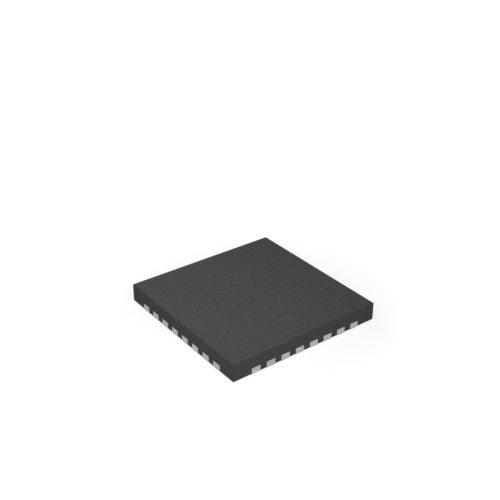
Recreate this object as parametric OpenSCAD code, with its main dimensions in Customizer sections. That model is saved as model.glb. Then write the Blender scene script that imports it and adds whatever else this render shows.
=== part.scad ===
// Quad flat no-lead package: a moulded square body on a half-etched copper leadframe.
// Units are millimetres. The origin is the centre of the package on the plane that the
// lands stand on, +Z points up through the top face, and X and Y run along the sides.

/* [Package] */
// Side of the square moulded body
body_side = 5.00; // [4.90:0.05:5.60]
// Height from the underside of the lands to the top face
package_height = 0.57; // [0.50:0.01:1.00]
// Height of the mould's underside above the underside of the lands
standoff = 0.03; // [0.01:0.01:0.05]

/* [Lands] */
// Number of leads along each side
leads_per_side = 8; // [2:1:8]
// Distance between the centres of neighbouring leads
lead_pitch = 0.50; // [0.40:0.01:0.51]
// Width of a land
land_width = 0.29; // [0.20:0.01:0.32]
// Length of a land on the underside, from the side of the body inwards
land_length = 0.47; // [0.30:0.01:0.50]

/* [Leadframe] */
// Thickness of the copper sheet
frame_thickness = 0.20; // [0.15:0.01:0.25]
// Depth that is etched away from below under noses, lip and tie bars
etch_depth = 0.10; // [0.06:0.01:0.12]
// Length of the half-etched nose inwards of each land
nose_length = 0.08; // [0.04:0.01:0.10]
// Side of the exposed square thermal pad
pad_side = 3.10; // [2.80:0.05:3.40]
// Width of the half-etched lip around the thermal pad
pad_lip = 0.10; // [0.05:0.01:0.14]
// Width of the tie bars on the diagonals
tie_bar_width = 0.15; // [0.10:0.01:0.18]
// Clearance between a tie bar and the chamfered leads beside it
tie_bar_clearance = 0.09; // [0.06:0.01:0.12]
// Thickness of mould between the end of a tie bar and the sides of the body
tie_bar_cover = 0.15; // [0.05:0.01:0.25]

/* [Die] */
// Side of the square silicon die
die_side = 2.20; // [1.90:0.05:2.60]
// Thickness of the die
die_thickness = 0.13; // [0.08:0.01:0.15]
// Thickness of the adhesive layer under the die
attach_thickness = 0.02; // [0.01:0.005:0.03]
// Width of the adhesive that shows around the die
attach_margin = 0.05; // [0.02:0.01:0.10]

/* [Bond wires] */
// Diameter of the drawn wire
wire_diameter = 0.025; // [0.018:0.001:0.030]
// Height of the wire's top above the die
loop_height = 0.10; // [0.08:0.01:0.12]
// Radius of the bend at the top of the loop
loop_bend_radius = 0.035; // [0.020:0.005:0.045]
// Diameter of the squashed ball on the die
ball_diameter = 0.060; // [0.045:0.005:0.075]
// Height of the squashed ball
ball_height = 0.015; // [0.010:0.001:0.020]
// Distance between neighbouring balls on the die
ball_pitch = 0.24; // [0.12:0.01:0.26]
// Distance from the edge of the die to the centre of a ball
ball_inset = 0.08; // [0.05:0.01:0.15]
// Distance from the tip of a lead's nose to the end of the wire on it
stitch_inset = 0.12; // [0.08:0.01:0.20]
// Length of the flattened end of the wire on the lead
stitch_length = 0.05; // [0.03:0.01:0.07]

/* [Hidden] */
lead_count = 4 * leads_per_side;
SIDE_NAMES = ["left", "front", "right", "back"];

half_body = body_side / 2;
mould_height = package_height - standoff;
etched_thickness = frame_thickness - etch_depth;
row_half_length = (leads_per_side - 1) * lead_pitch / 2;
nose_tip = half_body - land_length - nose_length;
attach_top = frame_thickness + attach_thickness;
die_top = attach_top + die_thickness;
ball_reach = die_side / 2 - ball_inset;
stitch_reach = nose_tip + stitch_inset;

// The corner chamfer leaves the tie bar its clearance on both sides of the diagonal.
tie_half_lane = tie_bar_width / 2 + tie_bar_clearance;
corner_chamfer = max(0, row_half_length + land_width / 2 - nose_tip + tie_half_lane * sqrt(2));

// Colours
mould_grey = [0.27, 0.27, 0.28];
tin_silver = [0.86, 0.87, 0.88];
adhesive_grey = [0.62, 0.62, 0.60];
silicon_blue = [0.36, 0.40, 0.47];
wire_gold = [0.90, 0.72, 0.32];

// Wire section: eight sides, with a flat one below
wire_sides = 8;
bend_steps = 4;
neck_height = 0.015;
stitch_flattening = 0.4;
stitch_widening = 1.5;

// Names
function lead_name(number) = str("lead_", number < 10 ? "0" : "", number);
function wires_name(side) = str("bond_wires_", SIDE_NAMES[side]);

// Leads are counted anticlockwise from above, from the back end of the left side.
function side_of(number) = floor((number - 1) / leads_per_side);
function place_in_row(number) = (number - 1) % leads_per_side;
function row_position(place, pitch) = (place - (leads_per_side - 1) / 2) * pitch;

// Turns a shape that is modelled on the front side to the side that is wanted
module on_side(side) {
    rotate([0, 0, 90 * (side - 1)]) children();
}

module square_slab(side, bottom, top) {
    translate([-side / 2, -side / 2, bottom]) cube([side, side, top - bottom]);
}

// Plan of a lead at x = 0 on the front side, with its inner end at y = inner.
// The end leads of a row lose the inner corner that faces the body's corner.
module lead_plan(inner, left_chamfer, right_chamfer) {
    half = land_width / 2;
    polygon([
        [-half, -half_body],
        [half, -half_body],
        [half, inner - right_chamfer],
        [half - right_chamfer, inner],
        [left_chamfer - half, inner],
        [-half, inner - left_chamfer]
    ]);
}

// Full-thickness land with a half-etched nose that locks it into the mould
module lead(number) {
    place = place_in_row(number);
    left_chamfer = place == 0 ? corner_chamfer : 0;
    right_chamfer = place == leads_per_side - 1 ? corner_chamfer : 0;
    color(tin_silver)
        on_side(side_of(number))
            translate([row_position(place, lead_pitch), 0, 0]) {
                linear_extrude(frame_thickness)
                    lead_plan(land_length - half_body, left_chamfer, right_chamfer);
                translate([0, 0, etch_depth])
                    linear_extrude(etched_thickness)
                        lead_plan(-nose_tip, left_chamfer, right_chamfer);
            }
}

// Half-etched bar along one diagonal, from the middle of the pad to near both corners
module tie_bar() {
    end_corner = half_body - tie_bar_cover;
    bar_end = end_corner * sqrt(2) - tie_bar_width / 2;
    translate([-bar_end, -tie_bar_width / 2, etch_depth])
        cube([2 * bar_end, tie_bar_width, etched_thickness]);
}

// Die paddle: exposed pad, half-etched lip and four tie bars in one sheet
module thermal_pad() {
    color(tin_silver)
        union() {
            square_slab(pad_side, 0, frame_thickness);
            square_slab(pad_side + 2 * pad_lip, etch_depth, frame_thickness);
            for (diagonal = [45, 135]) rotate([0, 0, diagonal]) tie_bar();
        }
}

module die_attach() {
    color(adhesive_grey) square_slab(die_side + 2 * attach_margin, frame_thickness, attach_top);
}

module silicon_die() {
    color(silicon_blue) square_slab(die_side, attach_top, die_top);
}

// Points of one wire's run in its own upright plane, from the ball to the stitch.
// Each is [distance along, height, slope in degrees, width factor, height factor].
function wire_run(span) = let (
    radius = wire_diameter / 2,
    ball = ball_diameter / wire_diameter,
    bend_top = die_top + loop_height - radius,
    stitch_start = span - stitch_length,
    fall = atan2(bend_top - frame_thickness - radius, stitch_start - loop_bend_radius),
    turn = 90 + fall,
    flat_height = radius * stitch_flattening
) concat(
    [
        [0, die_top, 90, ball, ball],
        [0, die_top + ball_height, 90, ball, ball],
        [0, die_top + ball_height + neck_height, 90, 1, 1]
    ],
    [for (step = [0:bend_steps]) let (slope = 90 - turn * step / bend_steps) [
        loop_bend_radius * (1 - sin(slope)),
        bend_top - loop_bend_radius * (1 - cos(slope)),
        slope, 1, 1
    ]],
    [
        [stitch_start, frame_thickness + radius, -fall / 2, 1, 1],
        [span, frame_thickness + flat_height, 0, stitch_widening, stitch_flattening]
    ]
);

function wire_ring(point) = let (corner_radius = wire_diameter / 2 / cos(180 / wire_sides)) [
    for (corner = [0:wire_sides - 1]) let (
        angle = (corner + 0.5) * 360 / wire_sides,
        across = corner_radius * cos(angle) * point[3],
        up = corner_radius * sin(angle) * point[4]
    ) [
        point[0] - up * sin(point[2]),
        across,
        point[1] + up * cos(point[2])
    ]
];

module wire_solid(span) {
    run = wire_run(span);
    rings = len(run);
    last_ring = (rings - 1) * wire_sides;
    polyhedron(
        points = [for (point = run) each wire_ring(point)],
        faces = concat(
            [[for (corner = [0:wire_sides - 1]) corner]],
            [[for (corner = [wire_sides - 1:-1:0]) last_ring + corner]],
            [for (ring = [0:rings - 2], corner = [0:wire_sides - 1]) let (
                next = (corner + 1) % wire_sides,
                here = ring * wire_sides,
                beyond = here + wire_sides
            ) [here + corner, beyond + corner, beyond + next, here + next]]
        )
    );
}

// The wires of one side fan out from the balls on the die to the leads
module bond_wires(side) {
    color(wire_gold)
        on_side(side)
            for (place = [0:leads_per_side - 1]) {
                start = [row_position(place, ball_pitch), -ball_reach];
                end = [row_position(place, lead_pitch), -stitch_reach];
                heading = atan2(end[1] - start[1], end[0] - start[0]);
                translate(start) rotate([0, 0, heading]) wire_solid(norm(end - start));
            }
}

// Moulded block with the exact shape of everything that it encloses taken out
module mould_body() {
    color(mould_grey)
        difference() {
            square_slab(body_side, standoff, package_height);
            thermal_pad();
            die_attach();
            silicon_die();
            for (side = [0:3]) bond_wires(side);
            for (number = [1:lead_count]) lead(number);
        }
}

mould_body();
thermal_pad();
die_attach();
silicon_die();
for (side = [0:3])
    bond_wires(side);
for (number = [1:lead_count])
    lead(number);
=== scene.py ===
"""Looks of a quad flat no-lead package: moulded body, plated leads and pad, die and bond wires."""

import contextlib
import math

import bpy
from mathutils import Matrix, Vector


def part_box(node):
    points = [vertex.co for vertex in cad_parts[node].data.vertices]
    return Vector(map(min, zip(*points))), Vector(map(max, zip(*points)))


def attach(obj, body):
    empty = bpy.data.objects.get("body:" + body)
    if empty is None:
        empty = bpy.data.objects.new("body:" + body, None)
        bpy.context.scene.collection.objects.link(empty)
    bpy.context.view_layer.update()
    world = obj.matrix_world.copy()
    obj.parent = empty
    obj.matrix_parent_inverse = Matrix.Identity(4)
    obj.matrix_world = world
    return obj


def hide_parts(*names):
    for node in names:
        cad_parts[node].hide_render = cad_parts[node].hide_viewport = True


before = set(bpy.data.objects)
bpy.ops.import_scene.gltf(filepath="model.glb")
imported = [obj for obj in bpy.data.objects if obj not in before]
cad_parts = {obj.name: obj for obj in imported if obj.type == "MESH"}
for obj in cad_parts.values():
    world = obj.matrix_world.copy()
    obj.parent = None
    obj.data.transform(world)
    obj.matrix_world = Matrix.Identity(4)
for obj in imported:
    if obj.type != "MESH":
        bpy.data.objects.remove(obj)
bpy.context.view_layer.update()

# Pieces are modelled in millimetres and brought to metres when they are finished
MM = 0.001

# Camera, solved from the corners of the body in the photograph. The photograph's side and the
# focal length are in pixels, angles in degrees, and the rest in millimetres.
PHOTO_SIDE = 500
FOCAL_LENGTH_PIXELS = 880.4
SENSOR_WIDTH = 36.0
CAMERA_AZIMUTH = -37.60
CAMERA_ELEVATION = 28.89
CAMERA_ROLL = 0.54
CAMERA_AIM = (1.84, 2.48, 0.30)
CAMERA_DISTANCE = 28.37
CAMERA_NEAR = 1.0

# Edges, in millimetres
MOULD_EDGE_RADIUS = 0.030
PLATED_EDGE_RADIUS = 0.010

# Seams between the mould and what it holds, in millimetres: the one round the copper, and a
# tighter one round the die and its adhesive. The wires have none.
SEAM = 0.003
SEALED_SEAM = 0.001

# Die and adhesive, in millimetres: the step that the dicing blade leaves round the die's top,
# the openings in its coating over the bond pads, and the rounding of the squeezed-out adhesive
KERF_WIDTH = 0.020
KERF_DEPTH = 0.012
WINDOW_SIDE = 0.076
WINDOW_DEPTH = 0.002
ADHESIVE_CORNER = 0.060
ADHESIVE_RIM = 0.016

# How close to the planes of the body's sides the marks of the saw begin, and how close they are
# full, in millimetres
SAWN_START = 0.004
SAWN_FULL = 0.001

# Share of white light that the moulding compound gives back, before its grain
EPOXY_TONE = 0.052

# Floor, in millimetres. It glows white, but near the object a share of its true tone shows, so
# that the shadow stays: in full up to one distance from the middle, and not at all from another.
FLOOR_SIDE = 2000.0
FLOOR_THICKNESS = 1.0
FLOOR_TONE = 0.80
FLOOR_GLOW = 1.20
SHADOW_SHARE = 0.35
SHADOW_FULL = 3.4
SHADOW_GONE = 7.0

# Lamps, in degrees and millimetres. Light is the share of white that a surface gets at the
# object when it faces the lamp with its beam fully open. A narrower beam is brighter in its
# middle, which falls at aim_x.
AMBIENT_LIGHT = 0.20
LAMP_SIDE = 6.0
LAMPS = {
    "key": dict(azimuth=-45, elevation=55, distance=8, light=0.24, beam=100, aim_x=-0.8),
    "front": dict(azimuth=0, elevation=25, distance=14, light=0.19),
    "right": dict(azimuth=90, elevation=13, distance=14, light=0.15),
    "back": dict(azimuth=180, elevation=25, distance=14, light=0.33),
}

# Places nearer than the first distance count as one, and points nearer than the second are
# merged, in millimetres. The CAD's points are rounded to so many digits of a millimetre.
SAME_PLACE = 0.002
MERGE_DISTANCE = 0.0002
POINT_DIGITS = 4

# Least part along an axis of an edge that counts as upright, and of a normal that faces that way
UPRIGHT = 0.9
TOWARDS = 0.5

# Faces that meet at more than the first angle keep a sharp edge. Triangles that meet at less
# than the second are joined.
SMOOTH_ANGLE = math.radians(40)
FLAT_ANGLE = math.radians(3)

# Leads are counted round the body, side by side in this order. The first and last of a side
# have a chamfer, and the others have none.
SIDES = ("left", "front", "right", "back")
LEAD_COUNT = sum(name.startswith("lead_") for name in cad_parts)
LEADS_PER_SIDE = LEAD_COUNT // len(SIDES)
FIRST_FRONT_LEAD = LEADS_PER_SIDE + 1
SECOND_FRONT_LEAD = LEADS_PER_SIDE + 2


# Measures taken from the frame, in millimetres

def lead_name(number):
    return f"lead_{number:02d}"


def box_mm(node):
    """Lowest and highest corner of a CAD node."""
    low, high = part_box(node)
    return low / MM, high / MM


def points_of(node, height=None):
    """Corner points of a CAD node, each once: all of them, or those at one height."""
    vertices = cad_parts[node].data.vertices
    points = {tuple(round(x / MM, POINT_DIGITS) for x in vertex.co) for vertex in vertices}
    return [
        Vector(point)
        for point in sorted(points)
        if height is None or abs(point[2] - height) < SAME_PLACE
    ]


BODY_LOW, BODY_HIGH = box_mm("mould_body")
HALF_BODY = BODY_HIGH.x
FRAME_TOP = box_mm("thermal_pad")[1].z
ETCH_STEP = min(point.z for point in points_of("thermal_pad") if point.z > SAME_PLACE)
HALF_PAD = max(point.x for point in points_of("thermal_pad", 0))
DIE_LOW, DIE_HIGH = box_mm("silicon_die")


# Modelling steps

class Edge:
    """An edge of a mesh, by the places of its two ends."""

    def __init__(self, piece, edge):
        self.ends = [piece.data.vertices[index].co for index in edge.vertices]
        self.middle = (self.ends[0] + self.ends[1]) / 2
        self.upright = abs((self.ends[1] - self.ends[0]).normalized().z) > UPRIGHT


def make_active(piece):
    """Selects one piece and nothing else."""
    bpy.ops.object.select_all(action="DESELECT")
    piece.select_set(True)
    bpy.context.view_layer.objects.active = piece


@contextlib.contextmanager
def editing(piece, kind, chosen):
    """Edit mode with just the edges or faces selected that chosen() picks."""
    make_active(piece)
    bpy.ops.object.mode_set(mode="EDIT")
    bpy.ops.mesh.select_mode(type=kind)
    bpy.ops.mesh.select_all(action="DESELECT")
    bpy.ops.object.mode_set(mode="OBJECT")
    parts = piece.data.edges if kind == "EDGE" else piece.data.polygons
    for part in parts:
        part.select = chosen(part)
    bpy.ops.object.mode_set(mode="EDIT")
    yield
    bpy.ops.object.mode_set(mode="OBJECT")


def edges(piece, chosen):
    """Edit mode with edges selected. chosen() picks them by their places."""
    return editing(piece, "EDGE", lambda edge: chosen(Edge(piece, edge)))


def faces(piece, chosen=lambda face: True):
    """Edit mode with faces selected: all of them, or those that chosen() picks."""
    return editing(piece, "FACE", chosen)


def apply_place(piece):
    """Brings a piece's place, turn and scale into its mesh."""
    make_active(piece)
    bpy.ops.object.transform_apply(location=True, rotation=True, scale=True)


def put(piece, place):
    """Turns and moves a piece, in its mesh."""
    piece.matrix_world = place
    apply_place(piece)


def rescale(piece, factor):
    """Scales a piece about the origin, in its mesh."""
    piece.scale = (factor, factor, factor)
    apply_place(piece)


def add_box(name, low, high):
    """A box between two corners."""
    bpy.ops.object.select_all(action="DESELECT")
    low, high = Vector(low), Vector(high)
    bpy.ops.mesh.primitive_cube_add(size=1, location=(low + high) / 2, scale=high - low)
    piece = bpy.context.object
    piece.name = name
    apply_place(piece)
    return piece


def split_at_height(piece, height):
    """Cuts every face that crosses a height, and keeps both halves."""
    with faces(piece):
        bpy.ops.mesh.bisect(plane_co=(0, 0, height), plane_no=(0, 0, 1))


def merge_doubles(piece):
    """Merges points that lie in one place."""
    with faces(piece):
        bpy.ops.mesh.remove_doubles(threshold=MERGE_DISTANCE)


def fatten(piece, distance):
    """Moves every face outwards."""
    with faces(piece):
        bpy.ops.transform.shrink_fatten(value=distance, use_even_offset=True)


def apply_modifier(piece, kind, **settings):
    """Adds a modifier with its settings, and applies it."""
    make_active(piece)
    modifier = piece.modifiers.new(kind.lower(), kind)
    for name, value in settings.items():
        setattr(modifier, name, value)
    bpy.ops.object.modifier_apply(modifier=modifier.name)


def copy_piece(piece, name):
    """A copy with its own mesh."""
    copy = piece.copy()
    copy.data = piece.data.copy()
    copy.name = name
    bpy.context.scene.collection.objects.link(copy)
    return copy


def join_pieces(pieces):
    """Joins pieces into the first of them."""
    make_active(pieces[0])
    for piece in pieces:
        piece.select_set(True)
    bpy.ops.object.join()
    return pieces[0]


def subtract(piece, cutter, **settings):
    """Cuts the shape of a cutter out of a piece, and deletes the cutter."""
    apply_modifier(
        piece, "BOOLEAN", operation="DIFFERENCE", object=cutter, solver="EXACT", **settings)
    bpy.data.objects.remove(cutter)


def copy_of_node(node, name):
    """A merged copy of a CAD node, in millimetres."""
    copy = copy_piece(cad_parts[node], name)
    copy.parent = None
    rescale(copy, 1 / MM)
    merge_doubles(copy)
    with faces(copy):
        bpy.ops.mesh.normals_make_consistent(inside=False)
    return copy


def cutter_from_node(node, seam=0.0):
    """A cutter for the cavity that a CAD node fills."""
    cutter = copy_of_node(node, f"cutter_{node}")
    if seam:
        fatten(cutter, seam)
    return cutter


def cutter_from_piece(piece):
    """A cutter for the cavity that a piece of the leadframe fills."""
    cutter = copy_piece(piece, f"cutter_{piece.name}")
    fatten(cutter, SEAM)
    return cutter


def side_turn(side):
    """The turn from the front side to another one. Sides are counted from 0, the left one."""
    return Matrix.Rotation(math.radians(90 * (side - 1)), 4, "Z")


def shade(piece):
    """Smooth rounds between flat faces, with sharp edges where faces meet steeply."""
    make_active(piece)
    bpy.ops.object.shade_smooth()
    with edges(piece, lambda edge: False):
        bpy.ops.mesh.edges_select_sharp(sharpness=SMOOTH_ANGLE)
        bpy.ops.mesh.mark_sharp()
    apply_modifier(piece, "WEIGHTED_NORMAL", keep_sharp=True, weight=100)


def soften(piece, radius):
    """Rounds the edges of a plated copper piece."""
    apply_modifier(piece, "BEVEL", width=radius, segments=2, limit_method="ANGLE")
    shade(piece)


def finish_piece(piece, finish, slot, *nodes):
    """Brings a piece to metres, dresses it, and puts it in the place of its CAD nodes."""
    rescale(piece, MM)
    piece.data.name = piece.name
    piece.data.materials.clear()
    piece.data.materials.append(finish)
    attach(piece, "root")
    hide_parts(*nodes)


# Pieces

def model_lead(name, chamfered_side):
    """A land with its half-etched nose, at x = 0 on the front side.
    chamfered_side is -1 or 1 for the end leads of a row, and 0 for the others."""
    land = points_of(lead_name(SECOND_FRONT_LEAD), 0)
    width = max(point.x for point in land) - min(point.x for point in land)
    inner = max(point.y for point in land)
    nose = box_mm(lead_name(SECOND_FRONT_LEAD))[1].y - inner
    end_land = points_of(lead_name(FIRST_FRONT_LEAD), 0)
    inner_edge = [point.x for point in end_land if abs(point.y - inner) < SAME_PLACE]
    chamfer = width - (max(inner_edge) - min(inner_edge))

    piece = add_box(name, (-width / 2, -HALF_BODY, 0), (width / 2, inner, FRAME_TOP))
    if chamfered_side:
        with edges(piece, lambda edge: (
            edge.upright
            and edge.middle.y > inner - SAME_PLACE
            and edge.middle.x * chamfered_side > 0
        )):
            bpy.ops.mesh.bevel(offset=chamfer, segments=1, affect="EDGES")
    split_at_height(piece, ETCH_STEP)
    with faces(piece, lambda face: face.normal.y > TOWARDS and face.center.z > ETCH_STEP):
        bpy.ops.mesh.extrude_region_move(TRANSFORM_OT_translate={"value": (0, nose, 0)})
    return piece


def place_lead(piece, number):
    """Turns and moves a lead from the front side to its own place in the count."""
    turn = side_turn((number - 1) // LEADS_PER_SIDE)
    low, high = box_mm(lead_name(number))
    along = (turn.inverted() @ (low + high)).x / 2
    put(piece, turn @ Matrix.Translation((along, 0, 0)))


def chamfered_side_of(number):
    """Where a lead has its chamfer: -1 or 1 for the first and last of a side, or else 0."""
    place = (number - 1) % LEADS_PER_SIDE
    return {0: -1, LEADS_PER_SIDE - 1: 1}.get(place, 0)


def model_pad():
    """The die paddle: exposed pad, half-etched lip, and a tie bar at each corner."""
    upper = points_of("thermal_pad", FRAME_TOP)
    reaches = [max(abs(point.x), abs(point.y)) for point in upper]
    lip = min(reach for reach in reaches if reach > HALF_PAD + SAME_PLACE) - HALF_PAD
    one_corner = [point for point in upper if point.x > 0 and point.y > 0]
    first_end, second_end = sorted(one_corner, key=lambda point: point.length)[-2:]
    bar_width = (first_end - second_end).length
    corner_cut = bar_width / math.sqrt(2)
    bar_start = HALF_PAD + lip - corner_cut / 2
    bar_reach = (first_end.x + second_end.x) / 2 - bar_start

    piece = add_box("plated_pad", (-HALF_PAD, -HALF_PAD, 0), (HALF_PAD, HALF_PAD, FRAME_TOP))
    split_at_height(piece, ETCH_STEP)
    with faces(piece, lambda face: abs(face.normal.z) < TOWARDS and face.center.z > ETCH_STEP):
        bpy.ops.mesh.extrude_region_shrink_fatten(
            TRANSFORM_OT_shrink_fatten={"value": lip, "use_even_offset": True})
    with edges(piece, lambda edge: edge.upright and abs(edge.middle.x) > HALF_PAD + lip / 2):
        bpy.ops.mesh.bevel(offset=corner_cut, segments=1, affect="EDGES")
    for across in (-1, 1):
        for along in (-1, 1):
            with faces(piece, lambda face: (
                face.normal.x * across > TOWARDS
                and face.normal.y * along > TOWARDS
                and face.center.x * across > 0
                and face.center.y * along > 0
            )):
                bpy.ops.mesh.extrude_region_move(
                    TRANSFORM_OT_translate={"value": (across * bar_reach, along * bar_reach, 0)})
    return piece


def ball_places():
    """Centres of the wires' balls along the front side of the die."""
    points = sorted(points_of("bond_wires_front", DIE_HIGH.z), key=lambda point: point.x)
    share = len(points) // LEADS_PER_SIDE
    return [
        sum(points[first:first + share], Vector()) / share
        for first in range(0, len(points), share)
    ]


def model_windows():
    """A cutter for the openings over the die's bond pads, one under each ball."""
    reach = Vector((WINDOW_SIDE / 2, WINDOW_SIDE / 2, WINDOW_DEPTH))
    windows = []
    for ball in ball_places():
        for side in range(len(SIDES)):
            window = add_box("pad_window", ball - reach, ball + reach)
            put(window, side_turn(side))
            windows.append(window)
    return join_pieces(windows)


def model_die():
    """The diced silicon, with the blade's step round its top and its bond pads laid bare."""
    piece = add_box("diced_silicon", DIE_LOW, DIE_HIGH - Vector((0, 0, KERF_DEPTH)))
    with faces(piece, lambda face: face.normal.z > TOWARDS):
        bpy.ops.mesh.inset(thickness=KERF_WIDTH)
        bpy.ops.mesh.extrude_region_move(TRANSFORM_OT_translate={"value": (0, 0, KERF_DEPTH)})
    subtract(piece, model_windows())
    return piece


def model_adhesive():
    """The adhesive under the die, with round corners and a round rim where it was squeezed out."""
    low, high = box_mm("die_attach")
    piece = add_box("squeezed_adhesive", low, high)
    with edges(piece, lambda edge: edge.upright):
        bpy.ops.mesh.bevel(offset=ADHESIVE_CORNER, segments=6, affect="EDGES")
    with edges(piece, lambda edge: edge.middle.z > high.z - SAME_PLACE):
        bpy.ops.mesh.bevel(offset=ADHESIVE_RIM, segments=4, affect="EDGES")
    shade(piece)
    return piece


def is_bond_edge(edge):
    """True for an edge that lies on the die's top or on the leads."""
    return all(
        min(abs(end.z - DIE_HIGH.z), abs(end.z - FRAME_TOP)) < SAME_PLACE
        for end in edge.ends
    )


def model_wires(node):
    """The bond wires of one side: the CAD's eight-sided tubes, rounded but for their flat bonds."""
    piece = copy_of_node(node, node.replace("bond", "gold"))
    with faces(piece):
        bpy.ops.mesh.tris_convert_to_quads(face_threshold=FLAT_ANGLE, shape_threshold=math.pi)
    with edges(piece, is_bond_edge):
        bpy.ops.transform.edge_crease(value=1)
    apply_modifier(piece, "SUBSURF", levels=2, render_levels=2)
    shade(piece)
    return piece


def model_mould(cutters):
    """The moulded block with softened edges, less everything that it holds."""
    piece = add_box("moulded_body", BODY_LOW, BODY_HIGH)
    with edges(piece, lambda edge: edge.middle.z > BODY_LOW.z + SAME_PLACE):
        bpy.ops.mesh.bevel(offset=MOULD_EDGE_RADIUS, segments=3, affect="EDGES")
    subtract(piece, join_pieces(cutters), use_self=True)
    merge_doubles(piece)
    shade(piece)
    return piece


# Shader maths

class Value:
    """The output of a shader node. Python's operators on it add Math nodes."""

    def __init__(self, shader, socket):
        self.shader = shader
        self.socket = socket

    def maths(self, operation, *others):
        """A Math node on this value and the others."""
        return self.shader.add("ShaderNodeMath", {"operation": operation}, [self, *others])

    def __add__(self, other):
        return self.maths("ADD", other)

    def __radd__(self, other):
        return self.maths("ADD", other)

    def __sub__(self, other):
        return self.maths("SUBTRACT", other)

    def __rsub__(self, other):
        return self.shader.add("ShaderNodeMath", {"operation": "SUBTRACT"}, [other, self])

    def __mul__(self, other):
        return self.maths("MULTIPLY", other)

    def __rmul__(self, other):
        return self.maths("MULTIPLY", other)

    def __abs__(self):
        return self.maths("ABSOLUTE")

    def larger(self, other):
        return self.maths("MAXIMUM", other)

    def rises(self, start, end):
        """0 up to start, 1 from end on, and a soft step between."""
        inputs = {"Value": self, "From Min": start, "From Max": end}
        return self.shader.add("ShaderNodeMapRange", {"interpolation_type": "SMOOTHSTEP"}, inputs)


class Shader:
    """A node tree. Its patterns are in millimetres on the object."""

    def __init__(self, tree):
        self.tree = tree

    def add(self, kind, settings=None, inputs=None, output=0):
        """Adds a node of a type, with its settings, then the values or links of its sockets."""
        node = self.tree.nodes.new(kind)
        for name, value in (settings or {}).items():
            setattr(node, name, value)
        pairs = inputs.items() if isinstance(inputs, dict) else enumerate(inputs or [])
        for key, value in pairs:
            self.connect(node.inputs[key], value)
        return Value(self, node.outputs[output])

    def connect(self, socket, value):
        """Links a value to a socket, or sets the socket to a plain number, colour or vector."""
        if isinstance(value, Value):
            self.tree.links.new(value.socket, socket)
        else:
            socket.default_value = value

    def place(self):
        """The place on the object, in millimetres."""
        place = self.add("ShaderNodeTexCoord", output="Object")
        settings = {"operation": "SCALE"}
        return self.add("ShaderNodeVectorMath", settings, {0: place, "Scale": 1 / MM})

    def seen_rays(self):
        """1 for rays that show the white background: straight, mirrored or let through."""
        camera, glossy, through = [
            self.add("ShaderNodeLightPath", output=ray)
            for ray in ("Is Camera Ray", "Is Glossy Ray", "Is Transmission Ray")
        ]
        return camera.larger(glossy).larger(through)


class Finish(Shader):
    """A material with one Principled surface."""

    def __init__(self, name, **uniform):
        self.material = bpy.data.materials.new(name)
        self.material.use_nodes = True
        super().__init__(self.material.node_tree)
        self.surface = self.tree.nodes["Principled BSDF"]
        for socket, value in uniform.items():
            self.surface.inputs[socket.replace("_", " ")].default_value = value
        self.here = self.place()

    def feed(self, **sockets):
        """Links values to the surface's own sockets."""
        for name, value in sockets.items():
            self.connect(self.surface.inputs[name.replace("_", " ")], value)

    def coordinate(self, axis):
        """How far the place lies along X, Y or Z."""
        return self.add("ShaderNodeSeparateXYZ", None, [self.here], output=axis)

    def stretched(self, rates):
        """The place with each axis multiplied by its own rate."""
        settings = {"operation": "MULTIPLY"}
        return self.add("ShaderNodeVectorMath", settings, [self.here, rates])

    def noise(self, per_mm, detail=2.0, roughness=0.5):
        """Clouds between 0 and 1, so many to a millimetre."""
        inputs = {
            "Vector": self.here, "Scale": per_mm, "Detail": detail, "Roughness": roughness,
        }
        return self.add("ShaderNodeTexNoise", None, inputs)

    def streaks(self, x, y, z, detail=2.0):
        """Clouds between 0 and 1, so many to a millimetre along each axis."""
        inputs = {"Vector": self.stretched((x, y, z)), "Scale": 1.0, "Detail": detail}
        return self.add("ShaderNodeTexNoise", None, inputs)

    def cells(self, per_mm):
        """The distance from the middle of the nearest cell of a random net."""
        return self.add("ShaderNodeTexVoronoi", None, {"Vector": self.here, "Scale": per_mm})

    def blocks(self, across, along):
        """Upright blocks in a regular net, each with a value of its own between 0 and 1.
        across and along are blocks to a millimetre."""
        net = {"Vector": self.stretched((across, along, 0.0)), "Scale": 1.0, "Randomness": 0.0}
        colours = self.add("ShaderNodeTexVoronoi", None, net, output="Color")
        return self.add("ShaderNodeSeparateColor", None, [colours], output="Red")

    def grey(self, tone):
        """A colour that is the same grey in all three channels."""
        return self.add("ShaderNodeCombineColor", None, [tone, tone, tone])

    def tinted(self, tone, tint):
        """A grey tone times a colour. Inputs 6 and 7 and output 2 of a Mix node are its colours."""
        settings = {"data_type": "RGBA", "blend_type": "MULTIPLY"}
        inputs = {0: 1.0, 6: self.grey(tone), 7: (*tint, 1.0)}
        return self.add("ShaderNodeMix", settings, inputs, output=2)

    def bump(self, height, depth):
        """A surface normal from a height between 0 and 1, with its depth in millimetres."""
        inputs = {"Height": height, "Distance": depth * MM, "Strength": 1.0}
        return self.add("ShaderNodeBump", None, inputs)

    def sawn_mask(self):
        """1 on the four sides of the body, where the blade went through, and 0 elsewhere."""
        reach = abs(self.coordinate("X")).larger(abs(self.coordinate("Y")))
        return reach.rises(HALF_BODY - SAWN_START, HALF_BODY - SAWN_FULL)

    def saw_lines(self):
        """Scratches of the blade, coarse and fine, that run along the sides."""
        return self.streaks(0.7, 0.7, 34.0, detail=5.0)


# Finishes

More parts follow.
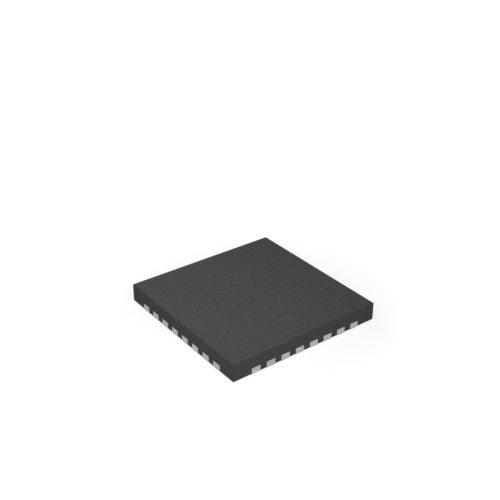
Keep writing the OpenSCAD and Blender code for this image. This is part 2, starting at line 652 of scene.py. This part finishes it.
def filled_epoxy():
    """Dark moulding compound: spark-eroded grain on top, cut filler and saw lines on the sides."""
    finish = Finish("filled_epoxy", IOR=1.5, Specular_IOR_Level=0.15)
    sawn = finish.sawn_mask()
    grain = finish.noise(12.0, detail=6.0, roughness=0.68)
    patches = finish.noise(1.1, detail=1.0)
    filler = 1 - finish.cells(24.0).rises(0.16, 0.28)
    lines = finish.saw_lines()
    resin_tone = EPOXY_TONE * (0.38 + 1.10 * grain + 0.10 * patches)
    filler_tone = filler * (0.006 + 0.010 * sawn)
    cut_height = 0.4 * grain + 1.4 * lines + 0.3 * filler
    height = 1.6 * grain * (1 - sawn) + sawn * cut_height
    finish.feed(
        Base_Color=finish.tinted(resin_tone + filler_tone, tint=(1.0, 1.0, 1.01)),
        Roughness=0.68 + 0.12 * grain + 0.04 * sawn,
        Normal=finish.bump(height, depth=0.010),
    )
    return finish.material


def matt_tin():
    """Matt tin plate: faint crystals and rolling lines, rougher and darker where it was sawn."""
    finish = Finish("matt_tin", Metallic=1.0)
    sawn = finish.sawn_mask()
    crystals = finish.cells(26.0)
    grain = finish.noise(34.0)
    rolling = finish.streaks(28.0, 1.2, 1.0)
    patches = finish.noise(1.3, detail=1.0)
    lines = finish.saw_lines()
    smears = finish.noise(9.0, detail=3.0)
    plated_tone = 0.66 + 0.06 * grain + 0.05 * rolling + 0.16 * patches
    cut_tone = 0.22 + 0.22 * lines + 0.20 * smears
    tone = plated_tone * (1 - sawn) + cut_tone * sawn
    height = 0.6 * crystals + 0.3 * grain + 0.3 * rolling * (1 - sawn) + 2.0 * lines * sawn
    finish.feed(
        Base_Color=finish.tinted(tone, tint=(0.995, 1.0, 1.0)),
        Roughness=0.40 + 0.08 * crystals + 0.06 * grain + 0.10 * sawn,
        Normal=finish.bump(height, depth=0.005),
    )
    return finish.material


def silver_adhesive():
    """Silver-filled adhesive with flakes in it."""
    finish = Finish("silver_adhesive", Metallic=0.6)
    flakes = finish.cells(30.0)
    grain = finish.noise(12.0, detail=3.0)
    tone = 0.30 + 0.16 * flakes + 0.10 * grain
    finish.feed(
        Base_Color=finish.tinted(tone, tint=(1.0, 0.99, 0.97)),
        Roughness=0.50 + 0.20 * grain,
        Normal=finish.bump(flakes, depth=0.002),
    )
    return finish.material


def patterned_silicon():
    """Silicon with blocks of circuit under its coating, bright bond pads, and dull sawn sides."""
    finish = Finish("patterned_silicon", Metallic=0.8)
    # The coated top is at depth 0, the bare bond pads are at 1, and the sawn step is far below
    depth = (DIE_HIGH.z - finish.coordinate("Z")) * (1 / WINDOW_DEPTH)
    under_coating = depth.rises(0.3, 0.6)
    under_windows = depth.rises(1.2, 1.5)
    coated = 1 - under_coating
    bare = under_coating - under_windows
    large = finish.blocks(1.5, 2.3)
    small = finish.blocks(6.1, 3.7)
    rows = finish.streaks(60.0, 5.0, 1.0)
    columns = finish.streaks(5.0, 60.0, 1.0)
    turned = small.rises(0.49, 0.51)
    wiring = rows * turned + columns * (1 - turned)
    dull = finish.noise(50.0)
    pattern = 0.04 + 0.06 * large + 0.05 * small + 0.10 * wiring
    tone = 0.10 + 0.04 * dull + coated * pattern + 0.68 * bare
    finish.feed(
        Base_Color=finish.tinted(tone, tint=(0.86, 0.95, 1.06)),
        Roughness=0.45 - coated * (0.28 - 0.10 * wiring),
        Normal=finish.bump(dull * (1 - coated), depth=0.002),
    )
    return finish.material


def drawn_gold():
    """Drawn gold wire with a fine grain."""
    finish = Finish("drawn_gold", Metallic=1.0)
    grain = finish.noise(60.0)
    finish.feed(
        Base_Color=finish.tinted(0.88 + 0.12 * grain, tint=(0.95, 0.70, 0.30)),
        Roughness=0.20 + 0.10 * grain,
        Normal=finish.bump(grain, depth=0.0005),
    )
    return finish.material


# The object

def build_leads(finish):
    """Each kind of lead, modelled once and copied to its places. Returns the cavities' cutters."""
    cutters = []
    for chamfered_side in (-1, 0, 1):
        plain = model_lead("plain_lead", chamfered_side)
        cavity = cutter_from_piece(plain)
        soften(plain, PLATED_EDGE_RADIUS)
        for number in range(1, LEAD_COUNT + 1):
            if chamfered_side_of(number) != chamfered_side:
                continue
            lead = copy_piece(plain, f"plated_{lead_name(number)}")
            place_lead(lead, number)
            finish_piece(lead, finish, "plated_copper", lead_name(number))
            cutter = copy_piece(cavity, f"cutter_{lead_name(number)}")
            place_lead(cutter, number)
            cutters.append(cutter)
        bpy.data.objects.remove(plain)
        bpy.data.objects.remove(cavity)
    return cutters


def build_pad(finish):
    """The plated paddle. Returns its cavity's cutter."""
    pad = model_pad()
    cavity = cutter_from_piece(pad)
    soften(pad, PLATED_EDGE_RADIUS)
    finish_piece(pad, finish, "plated_copper", "thermal_pad")
    return cavity


def build_inside():
    """The die on its adhesive, and its wires. Returns the cavities' cutters."""
    wires = [f"bond_wires_{side}" for side in SIDES]
    cutters = [cutter_from_node(node, SEALED_SEAM) for node in ("die_attach", "silicon_die")]
    cutters += [cutter_from_node(node) for node in wires]
    finish_piece(model_adhesive(), silver_adhesive(), "die_adhesive", "die_attach")
    finish_piece(model_die(), patterned_silicon(), "silicon", "silicon_die")
    gold = drawn_gold()
    for node in wires:
        finish_piece(model_wires(node), gold, "gold_wire", node)
    return cutters


def build_object():
    """Every piece. The mould comes last, because what it holds cuts its cavities."""
    tin = matt_tin()
    cutters = [*build_leads(tin), build_pad(tin), *build_inside()]
    finish_piece(model_mould(cutters), filled_epoxy(), "mould", "mould_body")


# The stage

def stand_off(thing, aim, azimuth, elevation, distance, roll=0.0):
    """Puts a camera or lamp at a distance from its aim, and turns it towards it.
    Azimuth 0 looks along +Y, and elevation is above the floor."""
    turn = (
        Matrix.Rotation(math.radians(azimuth), 4, "Z")
        @ Matrix.Rotation(math.radians(90 - elevation), 4, "X")
        @ Matrix.Rotation(math.radians(roll), 4, "Z")
    )
    place = Vector(aim) + turn @ Vector((0, 0, distance))
    thing.matrix_world = Matrix.Translation(place * MM) @ turn
    bpy.context.scene.collection.objects.link(thing)


def add_camera():
    """The photograph's camera, with its focal length brought from pixels to millimetres."""
    lens = bpy.data.cameras.new("camera")
    lens.sensor_width = SENSOR_WIDTH
    lens.lens = FOCAL_LENGTH_PIXELS / PHOTO_SIDE * SENSOR_WIDTH
    lens.clip_start = CAMERA_NEAR * MM
    lens.clip_end = FLOOR_SIDE * MM
    camera = bpy.data.objects.new("camera", lens)
    stand_off(camera, CAMERA_AIM, CAMERA_AZIMUTH, CAMERA_ELEVATION, CAMERA_DISTANCE, CAMERA_ROLL)
    bpy.context.scene.camera = camera


def add_lamp(name, azimuth, elevation, distance, light, beam=180, aim_x=0.0):
    """A square soft box that faces the object. The camera doesn't see it."""
    lamp = bpy.data.lights.new(name, "AREA")
    lamp.size = LAMP_SIDE * MM
    # The watts that bring a white surface at this distance to that share of white
    lamp.energy = light * (math.pi * distance * MM) ** 2
    lamp.spread = math.radians(beam)
    holder = bpy.data.objects.new(name, lamp)
    holder.visible_camera = False
    stand_off(holder, (aim_x, 0, FRAME_TOP), azimuth, elevation, distance)


def light_world():
    """Even white light all round, and plain white where the background shows."""
    world = bpy.data.worlds.new("studio")
    bpy.context.scene.world = world
    world.use_nodes = True
    shader = Shader(world.node_tree)
    background = world.node_tree.nodes["Background"]
    background.inputs["Color"].default_value = (1, 1, 1, 1)
    strength = AMBIENT_LIGHT + (1 - AMBIENT_LIGHT) * shader.seen_rays()
    shader.connect(background.inputs["Strength"], strength)


def white_floor():
    """White where it is seen, but for the object's shadow."""
    material = bpy.data.materials.new("white_floor")
    material.use_nodes = True
    shader = Shader(material.node_tree)
    settings = {"operation": "LENGTH"}
    reach = shader.add("ShaderNodeVectorMath", settings, [shader.place()], output="Value")
    glow_share = 1 - SHADOW_SHARE * (1 - reach.rises(SHADOW_FULL, SHADOW_GONE))
    tone = (FLOOR_TONE, FLOOR_TONE, FLOOR_TONE, 1)
    lit = shader.add("ShaderNodeBsdfDiffuse", None, {"Color": tone})
    white = {"Color": (1, 1, 1, 1), "Strength": FLOOR_GLOW}
    glow = shader.add("ShaderNodeEmission", None, white)
    mixed = shader.add("ShaderNodeMixShader", None, [shader.seen_rays() * glow_share, lit, glow])
    shader.connect(material.node_tree.nodes["Material Output"].inputs["Surface"], mixed)
    return material


def lay_floor():
    """A plain slab under the object."""
    half = FLOOR_SIDE / 2
    floor = add_box("floor", (-half, -half, -FLOOR_THICKNESS), (half, half, 0))
    rescale(floor, MM)
    floor.data.materials.append(white_floor())


add_camera()
build_object()
light_world()
lay_floor()
for name, setting in LAMPS.items():
    add_lamp(name, **setting)
bpy.context.scene.view_settings.view_transform = "Standard"
